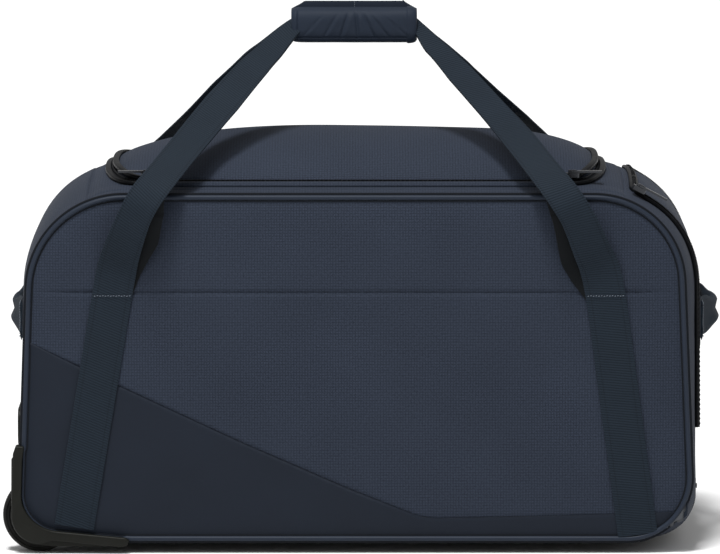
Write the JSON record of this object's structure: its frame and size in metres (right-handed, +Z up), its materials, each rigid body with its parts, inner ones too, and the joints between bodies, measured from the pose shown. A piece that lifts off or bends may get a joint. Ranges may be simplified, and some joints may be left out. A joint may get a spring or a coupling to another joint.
{
  "type": "rolling duffel bag",
  "caption": "Soft rolling duffel bag with a domed zip lid, twin webbing carry handles in a padded sleeve, end grab handles, corner wheels and a pull-out handle.",
  "frame": {"origin": "on the floor, under the centre of the whole bag", "axes": "+X towards the pull-handle end, -Y out of the front panel, +Z up; the wheels are at the -X end"},
  "size_m": [0.7176, 0.3928, 0.539],
  "materials": {
    "ripstop_cloth": "navy-slate polyester with a fine ripstop grid, matt",
    "smooth_cloth": "dark navy smooth coated polyester, soft sheen",
    "webbing": "navy ribbed polyester webbing, matt",
    "piping_cloth": "navy cloth over a round cord, slight gloss",
    "base_cloth": "near-black coated cloth",
    "zip_tape": "black zip tape and nylon coil",
    "board": "black corrugated plastic sheet",
    "guard_plastic": "dark olive-grey moulded plastic, fine grain",
    "trolley_plastic": "black moulded plastic, satin",
    "grip_plastic": "black soft-touch plastic",
    "button_plastic": "dark grey button, semi-gloss",
    "wheel_tyre": "black polyurethane tread, satin",
    "wheel_hub": "dark grey moulded wheel core",
    "bearing_steel": "ground bearing steel",
    "axle_steel": "zinc-plated steel",
    "tube_aluminium": "satin anodised aluminium",
    "zip_metal": "dark gunmetal zip slider",
    "puller_metal": "dark gunmetal puller",
    "screw_steel": "black-passivated steel screws",
    "foot_plastic": "black moulded skid feet",
    "sleeve_cloth": "navy smooth cloth of the padded grip sleeve"
  },
  "bodies": {
    "bag": {"front_panel": "ripstop_cloth", "rear_panel": "ripstop_cloth", "front_lower_panel": "smooth_cloth", "rear_lower_panel": "smooth_cloth", "left_end_panel": "ripstop_cloth", "right_end_panel": "ripstop_cloth", "top_panel": "ripstop_cloth", "base_panel": "base_cloth", "base_board": "board", "front_piping": "piping_cloth", "rear_piping": "piping_cloth", "bag_zipper_tape": "zip_tape", "end_pocket_panel": "ripstop_cloth", "end_pocket_zipper": "zip_tape", "front_strap_left": "webbing", "front_strap_right": "webbing", "rear_strap_left": "webbing", "rear_strap_right": "webbing", "left_handle_patches": "smooth_cloth", "right_handle_patches": "smooth_cloth", "front_wheel_housing": "guard_plastic", "rear_wheel_housing": "guard_plastic", "kick_plate": "guard_plastic", "skid_feet": "foot_plastic", "foot_screws": "screw_steel", "housing_screws": "screw_steel", "cup_screws": "screw_steel", "trolley_cup": "trolley_plastic", "trolley_bracket": "trolley_plastic", "trolley_outer_tubes": "tube_aluminium", "front_axle": "axle_steel", "rear_axle": "axle_steel"},
    "lid": {"lid_panel": "ripstop_cloth", "lid_zipper_tape": "zip_tape"},
    "front_handle": {"front_handle": "webbing", "front_grip_wrap": "sleeve_cloth"},
    "rear_handle": {"rear_handle": "webbing", "rear_grip_wrap": "sleeve_cloth"},
    "left_grab_handle": {"left_grab_handle": "webbing"},
    "right_grab_handle": {"right_grab_handle": "webbing"},
    "front_wheel": {"front_wheel_tyre": "wheel_tyre", "front_wheel_hub": "wheel_hub", "front_wheel_bearings": "bearing_steel"},
    "rear_wheel": {"rear_wheel_tyre": "wheel_tyre", "rear_wheel_hub": "wheel_hub", "rear_wheel_bearings": "bearing_steel"},
    "trolley": {"trolley_inner_tubes": "tube_aluminium", "trolley_grip": "grip_plastic"},
    "release": {"release_button": "button_plastic", "lock_rods": "axle_steel"},
    "left_slider": {"left_zip_slider": "zip_metal"},
    "right_slider": {"right_zip_slider": "zip_metal"},
    "pocket_slider": {"pocket_zip_slider": "zip_metal"},
    "left_puller": {"left_zip_puller": "puller_metal"},
    "right_puller": {"right_zip_puller": "puller_metal"},
    "pocket_puller": {"pocket_zip_puller": "puller_metal"}
  },
  "joints": [
    {"name": "lid_open", "type": "hinge", "parent": "bag", "child": "lid", "pos_m": [0, 0.1365, 0.367], "axis": [-1, 0, 0], "range_deg": [0, 100]},
    {"name": "front_handle_swing", "type": "hinge", "parent": "bag", "child": "front_handle", "pos_m": [0, -0.184, 0.262], "axis": [1, 0, 0], "range_deg": [0, 150]},
    {"name": "rear_handle_swing", "type": "hinge", "parent": "bag", "child": "rear_handle", "pos_m": [0, 0.184, 0.262], "axis": [-1, 0, 0], "range_deg": [0, 150]},
    {"name": "left_grab_pull", "type": "slide", "parent": "bag", "child": "left_grab_handle", "axis": [-1, 0, 0], "range_m": [0, 0.012]},
    {"name": "right_grab_pull", "type": "slide", "parent": "bag", "child": "right_grab_handle", "axis": [1, 0, 0], "range_m": [0, 0.012]},
    {"name": "front_wheel_spin", "type": "hinge", "parent": "bag", "child": "front_wheel", "pos_m": [-0.3218, -0.156, 0.037], "axis": [0, 1, 0], "continuous": true},
    {"name": "rear_wheel_spin", "type": "hinge", "parent": "bag", "child": "rear_wheel", "pos_m": [-0.3218, 0.156, 0.037], "axis": [0, 1, 0], "continuous": true},
    {"name": "trolley_pull", "type": "slide", "parent": "bag", "child": "trolley", "axis": [1, 0, 0], "range_m": [0, 0.4]},
    {"name": "release_press", "type": "slide", "parent": "trolley", "child": "release", "axis": [-1, 0, 0], "range_m": [0, 0.004], "stiffness_N_per_m": 300},
    {"name": "left_slider_run", "type": "slide", "parent": "lid", "child": "left_slider", "axis": [1, 0, 0], "range_m": [0, 0.165]},
    {"name": "right_slider_run", "type": "slide", "parent": "lid", "child": "right_slider", "axis": [-1, 0, 0], "range_m": [0, 0.165]},
    {"name": "left_puller_flip", "type": "hinge", "parent": "left_slider", "child": "left_puller", "pos_m": [-0.213, -0.1335, 0.3803], "axis": [0, 1, 0], "range_deg": [0, 150]},
    {"name": "right_puller_flip", "type": "hinge", "parent": "right_slider", "child": "right_puller", "pos_m": [0.213, -0.1335, 0.3803], "axis": [0, -1, 0], "range_deg": [0, 150]},
    {"name": "pocket_slider_run", "type": "hinge", "parent": "bag", "child": "pocket_slider", "pos_m": [0.227, -0.1365, 0.263], "axis": [0, 1, 0], "range_deg": [0, 58]},
    {"name": "pocket_puller_flip", "type": "hinge", "parent": "pocket_slider", "child": "pocket_puller", "pos_m": [0.28507, -0.1365, 0.37222], "axis": [0, -1, 0], "range_deg": [0, 120]}
  ],
  "couplings": [
    {"joint": "front_handle_swing", "follows": "lid_open", "ratio": 1.5},
    {"joint": "rear_handle_swing", "follows": "lid_open", "ratio": 1.5}
  ]
}
